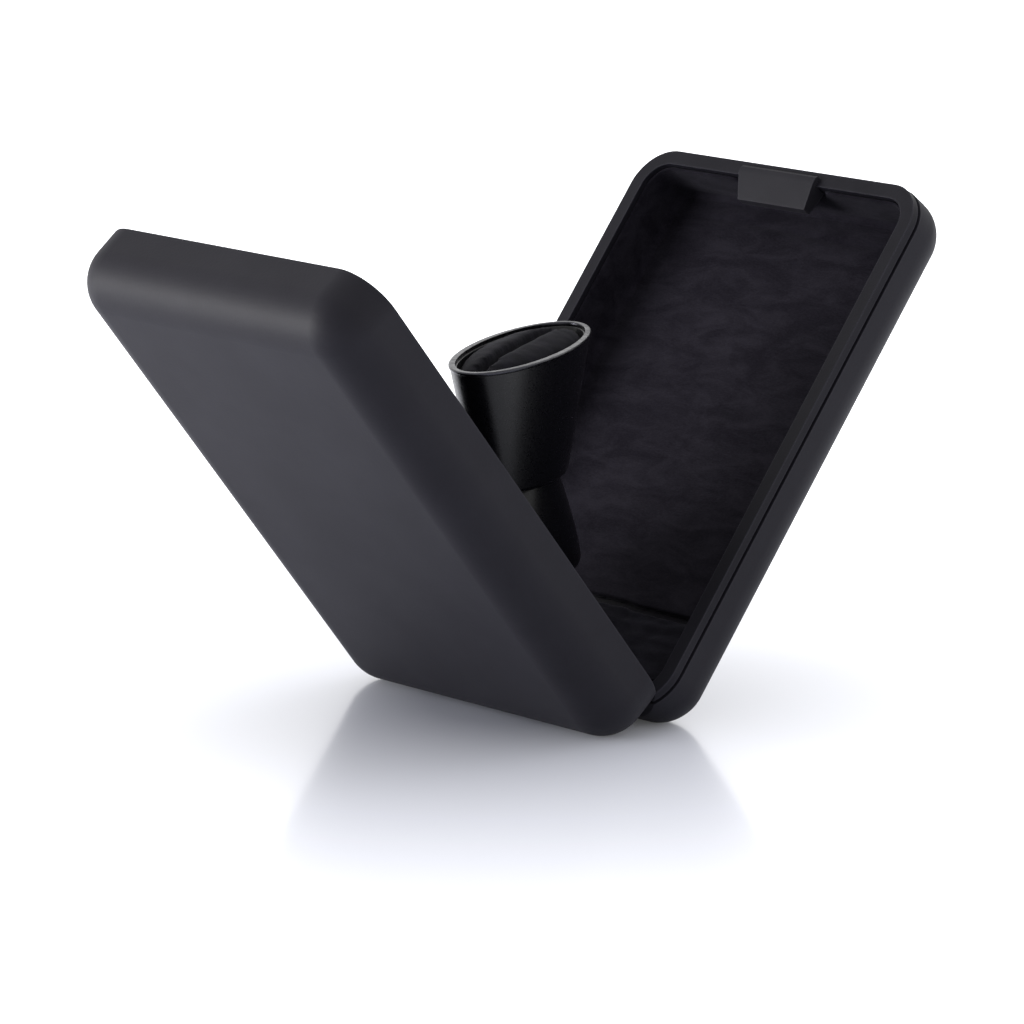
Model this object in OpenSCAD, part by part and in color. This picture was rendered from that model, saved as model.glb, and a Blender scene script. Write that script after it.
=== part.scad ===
// Slim ring display box that opens like a V.
// Two leatherette halves share one hinge rod along X. Each half carries a
// bevel gear sector on that rod, and both sectors drive one pinion on the
// upright spindle, so the ring holder turns as the halves open.
// X runs along the hinge, the front half leans towards -Y, Z is up and the
// box stands on the rounded outer edges of its two spines. Millimetres.

/* [Case] */
// Width of the case along the hinge
case_w = 64; // [60:0.5:76]
// Length of each half from its spine to its free end
case_l = 95; // [88:0.5:110]
// Depth of the front half from the parting plane to its outer face
front_depth = 11.5; // [11.4:0.1:13]
// Depth of the rear half from the parting plane to its outer face
rear_depth = 11.0; // [10.8:0.1:12.5]
// Radius of the four corners in plan
corner_r = 7.2; // [7:0.1:9]
// Radius of the long edges round the front half's outer face
front_edge_r = 7; // [6:0.1:7]
// Thickness of the side walls
wall_t = 1.6; // [1.2:0.1:2]
// Thickness of the two outer faces
face_t = 1.7; // [1.4:0.1:1.8]
// Width of the rim that shows round the opening
rim_w = 2.7; // [2.5:0.1:3.4]
// Gap from each rim to the parting plane
rim_gap = 0.1; // [0.05:0.05:0.3]
// Height of the rear half's proud rim above its seam
lip_h = 1.5; // [1:0.1:2.2]
// Height of the seam groove under the proud rim
seam_h = 0.4; // [0.2:0.1:0.8]
// Depth of the seam groove
seam_depth = 0.7; // [0.4:0.1:0.9]
// How far the proud rim is set in from the shell's side
lip_set = 0.2; // [0.1:0.05:0.4]

/* [Lining] */
// Thickness of the suede on the walls
lining_t = 0.5; // [0.4:0.1:0.8]
// Thickness of the suede covered floor cards
pad_t = 0.6; // [0.4:0.1:0.9]
// How far the floor card stays from the wall suede
pad_gap = 0.3; // [0.2:0.05:0.6]
// How far the wall suede stops below the rim
lining_drop = 0.9; // [0.5:0.1:1.5]
// Distance from the hinge axis to the crease where the ramp starts
ramp_l = 16; // [15:0.5:20]
// Distance from the hinge axis along the half to the ramp's low end
ramp_end = 2.6; // [2.5:0.1:3.4]
// Depth of the ramp's low end below the parting plane
ramp_end_depth = 1.5; // [1.3:0.1:2]
// Thickness of the ramp's bridge over the hinge plates
ramp_t = 1.1; // [0.9:0.1:1.3]

/* [Hinge] */
// Tilt of each half from upright, as displayed
rest_tilt = 38.5; // [30:0.5:42]
// Tilt of each half at its furthest opening
max_tilt = 56.25; // [50:0.25:58]
// Distance of the hinge axis inside the spine
hinge_inset = 2.8; // [2.6:0.1:3.2]
// Radius of the hinge rod
rod_r = 0.9; // [0.7:0.05:1.1]
// Radius of the hinge knuckles
knuckle_r = 2; // [1.7:0.1:2.1]
// Thickness of each hinge ear
ear_t = 1.2; // [0.8:0.1:1.4]
// Thickness of the hinge plate on the floor
plate_t = 0.8; // [0.6:0.1:0.9]
// Length of the hinge plate along the hinge
plate_w = 28; // [26:0.5:34]
// Thickness of the friction washers
washer_t = 0.5; // [0.3:0.1:0.7]
// Thickness of the clips on the rod
clip_t = 0.5; // [0.4:0.1:0.7]
// Radius of the heads of the plate screws
screw_head_r = 1.3; // [1.1:0.1:1.6]
// Radius of the shanks of the plate screws
screw_r = 0.7; // [0.5:0.1:0.8]

/* [Gear train] */
// Teeth of a whole gear on the hinge rod
sector_teeth = 24; // [20:2:28]
// Teeth of the pinion on the spindle
pinion_teeth = 15; // [13:2:19]
// Module of the bevel teeth at their outer end
gear_module = 0.5; // [0.45:0.01:0.52]
// Width of the tooth faces
gear_face = 2.2; // [1.6:0.1:2.4]
// Play between the teeth at the pitch line
tooth_gap = 0.08; // [0.04:0.01:0.14]
// Radius of the spindle
spindle_r = 1.5; // [1.2:0.1:1.7]
// Wall of the bronze bush
bush_t = 0.9; // [0.7:0.1:1.2]
// Wall of the gear housing
housing_t = 0.8; // [0.6:0.1:0.9]
// Thickness of the housing's end cheeks
cheek_t = 1.6; // [1.2:0.1:2]
// Radius of the housing's upright turret
turret_r = 4.2; // [3.8:0.1:4.6]
// Height of the turret's top above the hinge axis
turret_z = 22; // [19:0.5:24]

/* [Ring holder] */
// Half length of the cup at its rim
cup_top_a = 23.5; // [21:0.5:26]
// Half width of the cup at its rim
cup_top_b = 8.2; // [7:0.1:8.3]
// Half length of the cup at its foot
cup_foot_a = 13.2; // [12.4:0.1:16]
// Half width of the cup at its foot
cup_foot_b = 6; // [5.9:0.1:6.8]
// Height of the cup
cup_h = 21; // [18:0.5:26]
// Thickness of the cup's wall
cup_t = 1.2; // [0.9:0.1:1.6]
// Height of the cup's foot above the hinge axis
cup_z = 29; // [27:0.5:34]
// Height of the trim round the cup's rim
trim_h = 0.6; // [0.4:0.1:1]
// Half length of the pedestal's bell at its widest
bell_a = 17; // [13:0.5:18]
// Half width of the pedestal's bell at its widest
bell_b = 7.7; // [6.5:0.1:7.8]
// Half length of the pedestal's neck under the cup
neck_a = 9.5; // [8:0.5:11]
// Half width of the pedestal's neck under the cup
neck_b = 5.2; // [5:0.1:5.2]
// Height of the bell's lower edge above the hinge axis
bell_z = 13.6; // [13.4:0.1:16]
// Width of the slot that grips the ring
slot_w = 1.6; // [1:0.1:2.4]
// Crown of the ring pads above the cup's rim
pad_crown = 0.9; // [0.4:0.1:1.5]

/* [Catch] */
// Width of the catch tab on the rim
tab_w = 17; // [13:0.5:20]
// Width of the catch tab at its tip
tab_tip_w = 15.2; // [12:0.5:17]
// Reach of the catch tab past the inner edge of the rim
tab_reach = 4; // [3:0.1:5]
// Height of the catch tab above the rim
tab_rise = 0.8; // [0.5:0.1:1]
// Thickness of the catch tab
tab_t = 1.7; // [1.5:0.1:2]
// Radius of the magnet in the catch tab
magnet_r = 1.6; // [1.2:0.1:1.8]

/* [Fits] */
// Radial running clearance on the rod and the spindle
run_clear = 0.05; // [0.03:0.01:0.08]
// End play between turning pieces along the rod and the spindle
end_clear = 0.1; // [0.06:0.02:0.2]
// Clearance round pieces that drop into the trays
seat_clear = 0.05; // [0.02:0.01:0.1]
// Clearance between moving pieces that never touch
air = 0.4; // [0.3:0.05:0.5]

/* [Hidden] */
$fn = 24;
case_fn = 32;                  // sides of whole circles in the halves and their linings
screw_fn = 16;                 // sides of the small screws
cut = 1;                       // how far cutting tools run past what they cut
leather = "#46454b";
leather_dark = "#38373d";
suede = "#232228";
steel = "#a8abb0";
bronze = "#b08d57";
nylon = "#d8d4c8";

// Half shells, in the tray frame: X along the hinge, Y from the hinge axis
// to the free end, Z out of the tray, with the hinge axis on Y = Z = 0
tray_y0 = -hinge_inset;
tray_y1 = case_l - hinge_inset;
min_edge_r = wall_t + 1;
// both halves touch the ground together when their edge radii obey this
rear_edge_r = max(min_edge_r, round(100 * (front_edge_r - (front_depth - rear_depth)
    * sin(rest_tilt) / (sin(rest_tilt) + cos(rest_tilt) - 1))) / 100);
front_floor = front_depth - face_t;
rear_floor = rear_depth - face_t;
lining_in = rim_w + lining_t;  // from the outer side to the suede's face

// Place of the hinge axis over the ground and between the two halves
function sole(depth, edge_r) = (depth - edge_r) * sin(rest_tilt)
    - (edge_r - hinge_inset) * cos(rest_tilt) + edge_r;
function reach(depth, edge_r) = (depth - edge_r) * cos(rest_tilt)
    + (tray_y1 - edge_r) * sin(rest_tilt) + edge_r;
hinge_z = max(sole(front_depth, front_edge_r), sole(rear_depth, rear_edge_r));
hinge_y = (reach(front_depth, front_edge_r) - reach(rear_depth, rear_edge_r)) / 2;

// Gear train, with the pitch cones meeting on the hinge axis
housing_room = 0.35;                        // room between the teeth and the housing
sector_web = 1.65;                          // how far the sectors reach behind the pinion
rod_overhang = 0.6;                         // how far the rod runs past its clips
sector_pitch_r = gear_module * sector_teeth / 2;
pinion_pitch_r = gear_module * pinion_teeth / 2;
cone_length = norm([sector_pitch_r, pinion_pitch_r]);
addendum = gear_module;
dedendum = 1.25 * gear_module;
rest_turn = -rest_tilt * sector_teeth / pinion_teeth;
sector_tip_r = sector_pitch_r + addendum * pinion_pitch_r / cone_length;
pinion_tip_r = pinion_pitch_r + addendum * sector_pitch_r / cone_length;
housing_in_r = sector_tip_r + housing_room;
housing_r = housing_in_r + housing_t;
sector_back_x = pinion_pitch_r + sector_web;   // rear face of the sectors
cheek_x0 = sector_back_x + end_clear;
cheek_x1 = cheek_x0 + cheek_t;
inner_ear_x = cheek_x1 + washer_t + 2 * end_clear;
spacer_x = inner_ear_x + ear_t + end_clear;
spacer_t = ear_t;
outer_ear_x = spacer_x + spacer_t + end_clear;
clip_x = outer_ear_x + ear_t + end_clear;
rod_end_x = clip_x + clip_t + rod_overhang;
barrel_x = rod_end_x + air;                 // half length of the knuckle recess
barrel_r = knuckle_r + air;
hub_r = knuckle_r + 0.2;
hub_l = 4;                                  // length of the sector hubs
arm_t = 2;                                  // thickness of the sectors' arms
sector_foot_w = 2.9;

// Hinge plate and the arms that stand on it
arch_z = 2.1;                               // height where the housing's arch ends
ear_back_y = -0.9;
ear_front_y = arch_z - air;
ear_foot_y1 = 6.6;
plate_y0 = max(4.2, front_edge_r - hinge_inset);  // on the flat of the floor
plate_y1 = 12;
bay_x = max(barrel_x, plate_w / 2) + air;   // half width of the room for the hinge
sector_foot_t = 1;
plate_screw_x = plate_w / 2 - 2;
plate_screw_y = 10;
foot_screw_x = -(sector_back_x - 1);
foot_screw_y = 8.2;
screw_head_h = 0.6;
screw_bite = 1;                             // how deep a screw enters the shell

// Spindle stack, heights above the hinge axis
bush_r = spindle_r + run_clear + bush_t;
bush_flange_r = bush_r + 0.8;
bush_flange_t = 0.8;
pinion_top_z = sector_pitch_r + 1.4;
pinion_foot_z = sector_pitch_r * (1 - gear_face / cone_length) - 0.2;
bush_z = pinion_top_z + end_clear;
turret_base_r = pinion_tip_r + air + housing_t;
turret_base_z = bush_z + bush_flange_t + 1;
thrust_t = 0.5;
collar_r = 3;
collar_t = 1.2;
collar_z = turret_z + thrust_t + 2 * end_clear;
bell_bore_r = turret_r + air;
bell_bore_z = collar_z + collar_t;
cup_floor_t = 1.4;
spindle_top_z = cup_z + cup_floor_t;
pinion_clip_t = 0.4;
pinion_clip_z = pinion_foot_z - pinion_clip_t;
clip_groove = 0.35;                         // depth of the clip's groove
spindle_foot = 0.5;                         // how far the spindle runs below its clip
cup_screw_r = 2.2;
cup_screw_h = 1.2;
cup_screw_l = 4;                            // how deep it enters the spindle
foot_round = 0.8;                           // radius of the cup's lower edge
bell_round = 1.4;                           // radius of the bell's lower edge

// Catch, in the tray frame
rim_in_y = tray_y1 - rim_w;                 // inner edge of the rim at the free end
tab_y1 = tray_y1 - 1.2;
tab_y0 = rim_in_y - tab_reach;
tab_seat = 0.9;                             // how deep the tab is let into the rim
tab_tip_drop = 1;                           // how far its tip slopes below the rim
keeper_t = 0.5;
keeper_w = 11;
keeper_reach = 2.6;                         // how far the keeper reaches past the rim

// Frames

// Children are drawn about the hinge axis
module at_hinge() {
    translate([0, hinge_y, hinge_z]) children();
}

// Children are drawn in the tray frame of the rear half
module rear_half() {
    at_hinge() rotate([90 - rest_tilt, 0, 0]) children();
}

// The front half is the rear one turned about the upright axis
module front_half() {
    at_hinge() rotate([0, 0, 180]) rotate([90 - rest_tilt, 0, 0]) children();
}

// Children are drawn as the holder stands in the closed box, long side along X
module on_spindle() {
    at_hinge() rotate([0, 0, rest_turn]) children();
}

// Shapes

// Section from X = 0 to w, standing on Y = 0, with its lower outer edge rounded
module side_section(w, h, r) {
    square([w - r, h]);
    translate([0, r]) square([w, h - r]);
    intersection() {
        translate([w - r, r]) circle(r, $fn = case_fn);
        translate([0, -cut]) square([w + cut, cut + min(h, 1.3 * r)]);
    }
}

// The same with both lower edges rounded, for a block centred on X = 0
module edge_section(w, h, r) {
    translate([-w / 2 + r, 0]) square([w - 2 * r, h]);
    for (side = [0, 1])
        mirror([side, 0]) translate([w / 2 - 2 * r, 0]) side_section(2 * r, h, r);
}

// Block with round plan corners and a rounded lower edge all round
module soft_block(w, y0, y1, z0, z1, plan_r, edge_r) {
    run_x = w - 2 * plan_r;
    run_y = y1 - y0 - 2 * plan_r;
    h = z1 - z0;
    translate([0, (y0 + y1) / 2, z0]) {
        for (sx = [-1, 1], sy = [-1, 1])
            translate([sx * run_x / 2, sy * run_y / 2, 0]) rotate_extrude($fn = case_fn)
                side_section(plan_r, h, edge_r);
        translate([0, run_y / 2, 0]) rotate([90, 0, 0])
            linear_extrude(run_y) edge_section(w, h, edge_r);
        translate([-run_x / 2, 0, 0]) rotate([90, 0, 90])
            linear_extrude(run_x) edge_section(y1 - y0, h, edge_r);
    }
}

// Plan of a half set in from its outer side
module plan(inset) {
    r = corner_r - inset;
    w = case_w - 2 * inset;
    l = case_l - 2 * inset;
    translate([0, (tray_y0 + tray_y1) / 2]) {
        square([w - 2 * r, l], center = true);
        square([w, l - 2 * r], center = true);
        for (sx = [-1, 1], sy = [-1, 1])
            translate([sx * (w / 2 - r), sy * (l / 2 - r)]) circle(r, $fn = case_fn);
    }
}

// Slab of that plan between two heights of the tray frame
module slab(inset, z0, z1) {
    translate([0, 0, z0]) linear_extrude(z1 - z0) plan(inset);
}

// Outline in the tray's Y-Z plane, drawn from x0 over a length along X
module along_x(x0, length) {
    translate([x0, 0, 0]) rotate([90, 0, 90]) linear_extrude(length) children();
}

// Hollow of a tray, set in by a clearance
module tray_hollow(depth, edge_r, clear) {
    inset = wall_t + clear;
    soft_block(case_w - 2 * inset, tray_y0 + inset, tray_y1 - inset,
        face_t - depth, cut, corner_r - inset, edge_r - wall_t);
}

// The same hollow in the Y-Z plane
module hollow_section(depth, edge_r, clear) {
    translate([(tray_y0 + tray_y1) / 2, face_t - depth])
        edge_section(case_l - 2 * (wall_t + clear), depth, edge_r - wall_t);
}

// Room for the knuckles, and the bevel that lets the spines pass each other
module spine_relief() {
    bevel = hinge_inset + cut;
    along_x(-case_w / 2 - cut, case_w + 2 * cut)
        polygon([[0, cut], [0, -rim_gap], [-bevel, -rim_gap - bevel * tan(max_tilt)],
            [-bevel, cut]]);
    along_x(-barrel_x, 2 * barrel_x) circle(barrel_r);
}

// Gap in rim frame and suede where the hinge arms leave the spine
module arm_gap(depth) {
    translate([-bay_x, tray_y0, -depth])
        cube([2 * bay_x, hinge_inset + plate_y0, depth + cut]);
}

// Closed skin through a stack of ovals, each [half length, half width, height]
module oval_loft(ovals) {
    count = 48;
    last = len(ovals) - 1;
    points = [for (o = ovals, i = [0:count - 1])
        [o[0] * cos(360 * i / count), o[1] * sin(360 * i / count), o[2]]];
    sides = [for (k = [0:last - 1], i = [0:count - 1])
        let (a = k * count + i, b = k * count + (i + 1) % count)
        each [[a, a + count, b + count], [a, b + count, b]]];
    foot = [[for (i = [0:count - 1]) i]];
    head = [[for (i = [count - 1:-1:0]) last * count + i]];
    polyhedron(points, concat(foot, sides, head));
}

// Bevel gears

// Half width of a tooth, as an angle, at a height above the pitch cone.
// The flank is the involute of the spur gear that the back cone unrolls to.
function inv(angle) = tan(angle) * 180 / PI - angle;
function tooth_half_angle(teeth, cone, h) =
    let (pitch_r = gear_module * teeth / 2,
        back_r = pitch_r / cos(cone),
        base_r = back_r * cos(20),
        pressure = acos(min(1, base_r / (back_r + h))),
        half = 90 * cos(cone) / teeth - tooth_gap / 4 / back_r * 180 / PI
            + inv(20) - inv(pressure))
    half * (back_r + h) / (pitch_r + h * cos(cone));

// Bevel gear about Z whose teeth point at the origin. The teeth run from number
// first to last; when they are fewer than a whole gear, the rest is cut away.
// foot and head are the heights of its two faces at the axis.
module bevel_gear(teeth, mate_teeth, first, last, phase, foot, head) {
    cone = atan(teeth / mate_teeth);
    pitch = cone_length * [sin(cone), cos(cone)];
    out = [cos(cone), -sin(cone)];
    inner = 1 - gear_face / cone_length;
    whole = last - first + 1 == teeth;
    heights = [-dedendum, -0.1 * gear_module, addendum];
    flank = [for (h = heights) [pitch + h * out, tooth_half_angle(teeth, cone, h)]];
    // outer ends of the edges, tooth by tooth: up one flank and down the other
    outer = [for (n = [first:last]) let (at = phase + n * 360 / teeth)
        each concat(
            [for (f = flank) on_cone(f[0], at - f[1])],
            [for (k = [len(flank) - 1:-1:0]) on_cone(flank[k][0], at + flank[k][1])])];
    count = len(outer);
    foot_mid = 2 * count;
    head_mid = foot_mid + 1;
    runs = [for (i = [0:whole ? count - 1 : count - 2]) [i, (i + 1) % count]];
    skin = [for (r = runs)
        each [[r[0], r[0] + count, r[1] + count], [r[0], r[1] + count, r[1]],
            [foot_mid, r[0], r[1]], [head_mid, r[1] + count, r[0] + count]]];
    ends = whole ? [] : [
        [count - 1, 2 * count - 1, head_mid], [count - 1, head_mid, foot_mid],
        [foot_mid, head_mid, count], [foot_mid, count, 0]];
    polyhedron(concat([for (p = outer) p * inner], outer, [[0, 0, foot], [0, 0, head]]),
        concat(skin, ends));
}

// Point at a radius and height, turned about Z
function on_cone(p, angle) = [p[0] * cos(angle), p[0] * sin(angle), p[1]];

// Front half

module front_shell() {
    color(leather) front_half() difference() {
        soft_block(case_w, tray_y0, tray_y1, -front_depth, -rim_gap, corner_r, front_edge_r);
        tray_hollow(front_depth, front_edge_r, 0);
        spine_relief();
        plate_screw_holes(front_floor);
        tab_recess();
    }
}

module front_rim_frame() {
    color(leather_dark) front_half() difference() {
        intersection() {
            tray_hollow(front_depth, front_edge_r, seat_clear);
            slab(wall_t + seat_clear, -front_floor, -rim_gap - seam_h);
        }
        slab(rim_w, -front_depth, cut);
        spine_relief();
        arm_gap(front_depth);
        tab_recess();
        keeper_plate();
    }
}

module front_wall_lining() {
    color(suede) front_half() wall_lining(front_depth, front_edge_r);
}

module front_floor_pad() {
    color(suede) front_half() floor_pad(front_depth, front_edge_r);
}

module front_hinge_ramp() {
    color(suede) front_half() hinge_ramp(front_depth, front_edge_r);
}

module front_hinge_plate() {
    color(steel) front_half() hinge_plate(front_depth, front_edge_r);
}

module front_plate_screws() {
    color(steel) front_half() plate_screws(front_floor);
}

module front_gear_sector() {
    color(nylon) front_half() gear_sector(front_depth, front_edge_r, 0.5);
}

// Steel plate under the recess that the catch tab's magnet holds to
module front_keeper() {
    color(steel) front_half() keeper_plate();
}

// Rear half

module rear_shell() {
    color(leather) rear_half() difference() {
        soft_block(case_w, tray_y0, tray_y1, -rear_depth, -lip_h - seam_h, corner_r, rear_edge_r);
        tray_hollow(rear_depth, rear_edge_r, 0);
        spine_relief();
        plate_screw_holes(rear_floor);
    }
}

// Wrapped frame whose flange stands proud of the shell over a seam groove
module rear_rim_frame() {
    color(leather_dark) rear_half() difference() {
        union() {
            slab(lip_set, -lip_h, -rim_gap);
            slab(lip_set + seam_depth, -lip_h - seam_h, -lip_h);
            intersection() {
                tray_hollow(rear_depth, rear_edge_r, seat_clear);
                slab(wall_t + seat_clear, -rear_floor, -lip_h - seam_h);
            }
        }
        slab(rim_w, -rear_depth, cut);
        spine_relief();
        arm_gap(rear_depth);
        translate([-tab_w / 2, rim_in_y - cut, -tab_seat])
            cube([tab_w, tab_y1 - rim_in_y + cut, tab_seat + cut]);
    }
}

module rear_wall_lining() {
    color(suede) rear_half() wall_lining(rear_depth, rear_edge_r);
}

module rear_floor_pad() {
    color(suede) rear_half() floor_pad(rear_depth, rear_edge_r);
}

module rear_hinge_ramp() {
    color(suede) rear_half() hinge_ramp(rear_depth, rear_edge_r);
}

module rear_hinge_plate() {
    color(steel) rear_half() hinge_plate(rear_depth, rear_edge_r);
}

module rear_plate_screws() {
    color(steel) rear_half() plate_screws(rear_floor);
}

module rear_gear_sector() {
    color(nylon) rear_half() gear_sector(rear_depth, rear_edge_r, 0);
}

// Wrapped tongue on the free end's rim, sloping into the tray
module catch_tab() {
    color(leather) rear_half() difference() {
        intersection() {
            along_x(-tab_w / 2, tab_w) tab_profile();
            translate([0, 0, -rear_depth]) linear_extrude(2 * rear_depth)
                polygon([[-tab_w / 2, tab_y1], [-tab_w / 2, rim_in_y],
                    [-tab_tip_w / 2, tab_y0], [tab_tip_w / 2, tab_y0],
                    [tab_w / 2, rim_in_y], [tab_w / 2, tab_y1]]);
        }
        magnet_seat(cut);
    }
}

module catch_magnet() {
    color(steel) rear_half() magnet_seat(0);
}

// Pieces that both halves use, in the tray frame

module wall_lining(depth, edge_r) {
    difference() {
        intersection() {
            tray_hollow(depth, edge_r, seat_clear);
            slab(rim_w + seat_clear, face_t - depth, -lining_drop);
        }
        slab(lining_in, -depth, cut);
        spine_relief();
        arm_gap(depth);
        translate([-tab_w / 2 - air, rim_in_y - tab_reach, -tab_seat - tab_t])
            cube([tab_w + 2 * air, tab_reach + cut, tab_seat + tab_t + cut]);
    }
}

module floor_pad(depth, edge_r) {
    inset = lining_in + pad_gap;
    intersection() {
        tray_hollow(depth, edge_r, seat_clear);
        slab(inset, face_t - depth, face_t - depth + pad_t);
        translate([-case_w / 2, ramp_l + pad_gap, -depth]) cube([case_w, case_l, depth]);
    }
}

// Foam wedge under the suede, hollow over the hinge plate and round the housing
module hinge_ramp(depth, edge_r) {
    floor_z = face_t - depth;
    slope = (-ramp_end_depth - floor_z - pad_t) / (ramp_l - ramp_end);
    lowered = ramp_t * norm([1, slope]);
    difference() {
        intersection() {
            tray_hollow(depth, edge_r, seat_clear);
            slab(lining_in + pad_gap, floor_z, 0);
            along_x(-case_w / 2, case_w)
                ramp_outline(floor_z, slope, ramp_end, ramp_l, 0);
        }
        along_x(-bay_x, 2 * bay_x)
            ramp_outline(floor_z - cut, slope, ramp_end - cut, ramp_l - ramp_t, lowered);
        along_x(-cheek_x1 - air, 2 * (cheek_x1 + air)) circle(housing_r + air);
        rotate([-90, 0, 0]) cylinder(h = turret_base_z + air, r = turret_base_r + air);
    }
}

// Side view of the wedge between two lengths, lowered for the hollow under it
module ramp_outline(foot_z, slope, y0, y1, lowered) {
    function top_z(y) = -ramp_end_depth - (y - ramp_end) * slope - lowered;
    polygon([[y1, foot_z], [y1, top_z(y1)], [y0, top_z(y0)], [y0, foot_z]]);
}

// Side view of an arm from the knuckle round the housing to a seat in the tray
module arm_outline(depth, edge_r, seat_z, boss_r) {
    round_z = -housing_r - air;
    circle(boss_r);
    intersection() {
        polygon([[ear_back_y, 0], [ear_back_y, seat_z], [ear_foot_y1, seat_z],
            [ear_foot_y1, round_z], [ear_front_y, round_z], [ear_front_y, 0]]);
        hollow_section(depth, edge_r, seat_clear);
    }
}

// Steel plate on the floor with two ears, which the other half's ears pass
module hinge_plate(depth, edge_r) {
    floor_z = face_t - depth;
    difference() {
        union() {
            translate([-plate_w / 2, plate_y0, floor_z])
                cube([plate_w, plate_y1 - plate_y0, plate_t]);
            for (x = [inner_ear_x, -outer_ear_x - ear_t])
                along_x(x, ear_t) arm_outline(depth, edge_r, floor_z, knuckle_r);
        }
        along_x(-rod_end_x, 2 * rod_end_x) circle(rod_r + run_clear);
        plate_screw_holes(-floor_z);
    }
}

// Places of the screws, each with the height of its seat above the floor
function plate_screw_spots() = [
    [-plate_screw_x, plate_screw_y, plate_t], [plate_screw_x, plate_screw_y, plate_t],
    [foot_screw_x, foot_screw_y, plate_t + sector_foot_t], [-foot_screw_x, foot_screw_y, plate_t]
];

module plate_screw_holes(floor_depth) {
    for (p = plate_screw_spots())
        translate([p[0], p[1], -floor_depth - screw_bite])
            cylinder(h = screw_bite + p[2], r = screw_r, $fn = screw_fn);
}

module plate_screws(floor_depth) {
    for (p = plate_screw_spots())
        translate([p[0], p[1], -floor_depth]) {
            translate([0, 0, -screw_bite])
                cylinder(h = screw_bite + p[2], r = screw_r, $fn = screw_fn);
            translate([0, 0, p[2]])
                cylinder(h = screw_head_h, r = screw_head_r, $fn = screw_fn);
        }
}

// Bevel sector on the hinge rod, with an arm and a foot on the hinge plate.
// It stands on the -X side of its tray; shift is a part of a tooth pitch.
module gear_sector(depth, edge_r, shift) {
    pitch = 360 / sector_teeth;
    seat_z = face_t - depth + plate_t;
    difference() {
        union() {
            // from the tray's length axis back to where the box is fully open
            rotate([0, -90, 0]) rotate([0, 0, 90])
                bevel_gear(sector_teeth, pinion_teeth, -ceil(max_tilt / pitch) - 2, 1,
                    shift * pitch, pinion_pitch_r - gear_face / 2, sector_back_x);
            along_x(-sector_back_x, hub_l) circle(hub_r);
            along_x(-sector_back_x, arm_t) arm_outline(depth, edge_r, seat_z, hub_r);
            translate([-sector_back_x, plate_y0, seat_z])
                cube([sector_foot_w, foot_screw_y + 2 - plate_y0, sector_foot_t]);
        }
        along_x(-rod_end_x, 2 * rod_end_x) circle(rod_r + run_clear);
        plate_screw_holes(depth - face_t);
    }
}

// Catch

function keeper_z() = tab_rise + rim_gap + air + seam_h;

// Side view of the tab: seat on the rim, slope into the tray, blunt tip
module tab_profile() {
    polygon([[tab_y1, tab_rise - 0.3], [tab_y1, -tab_seat], [rim_in_y, -tab_seat],
        [rim_in_y, -tab_seat - tab_t], [tab_y0, -tab_tip_drop - tab_t + 0.2],
        [tab_y0, -tab_tip_drop], [rim_in_y, tab_rise], [tab_y1 - 0.4, tab_rise]]);
}

// Recess in the front half's rim that takes the tab when the box is shut
module tab_recess() {
    translate([-tab_w / 2 - air, rim_in_y - cut, -keeper_z()])
        cube([tab_w + 2 * air, tab_y1 - rim_in_y + cut + 0.3, keeper_z() + cut]);
}

// Strip of steel in the recess that reaches out under the magnet
module keeper_plate() {
    translate([-keeper_w / 2, rim_in_y - keeper_reach, -keeper_z() - keeper_t])
        cube([keeper_w, keeper_reach + rim_w - wall_t - seat_clear - air, keeper_t]);
}

module magnet_seat(run) {
    translate([0, (rim_in_y + tab_y0) / 2 + 0.3, -tab_seat - tab_t + 0.15 - run])
        cylinder(h = 1 + run, r = magnet_r);
}

// Hinge and carrier

module hinge_rod() {
    color(steel) at_hinge() along_x(-rod_end_x, 2 * rod_end_x) circle(rod_r);
}

module rod_clips() {
    color(steel) at_hinge() for (side = [-1, 1])
        along_x(side * (clip_x + clip_t / 2) - clip_t / 2, clip_t) difference() {
            circle(knuckle_r - 0.1);
            circle(rod_r);
        }
}

module friction_washers() {
    color(bronze) at_hinge() for (side = [-1, 1]) {
        along_x(side * (cheek_x1 + end_clear + washer_t / 2) - washer_t / 2, washer_t)
            difference() {
                circle(knuckle_r - 0.1);
                circle(rod_r);
            }
        along_x(side * (spacer_x + spacer_t / 2) - spacer_t / 2, spacer_t)
            difference() {
                circle(knuckle_r - 0.3);
                circle(rod_r);
            }
    }
}

// Barrel over the two sectors, with cheeks on the rod and a turret for the bush
module gear_housing() {
    color(suede) at_hinge() difference() {
        union() {
            intersection() {
                along_x(-cheek_x1, 2 * cheek_x1) circle(housing_r);
                translate([-cheek_x1, -housing_r, arch_z])
                    cube([2 * cheek_x1, 2 * housing_r, housing_r]);
            }
            for (x = [cheek_x0, -cheek_x1])
                along_x(x, cheek_t) {
                    circle(knuckle_r);
                    polygon([[-knuckle_r, 0], [knuckle_r, 0],
                        [knuckle_r + 1.5, arch_z], [-knuckle_r - 1.5, arch_z]]);
                }
            cylinder(h = turret_base_z, r = turret_base_r);
            cylinder(h = turret_z, r = turret_r);
        }
        along_x(-cheek_x0, 2 * cheek_x0) circle(housing_in_r);
        translate([-cheek_x0, -housing_r, -cut]) cube([2 * cheek_x0, 2 * housing_r, arch_z + cut]);
        cylinder(h = bush_z + bush_flange_t, r = bush_flange_r);
        cylinder(h = bush_z, r = pinion_tip_r + air);
        cylinder(h = turret_z + cut, r = bush_r);
        along_x(-rod_end_x, 2 * rod_end_x) circle(rod_r);
    }
}

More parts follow.
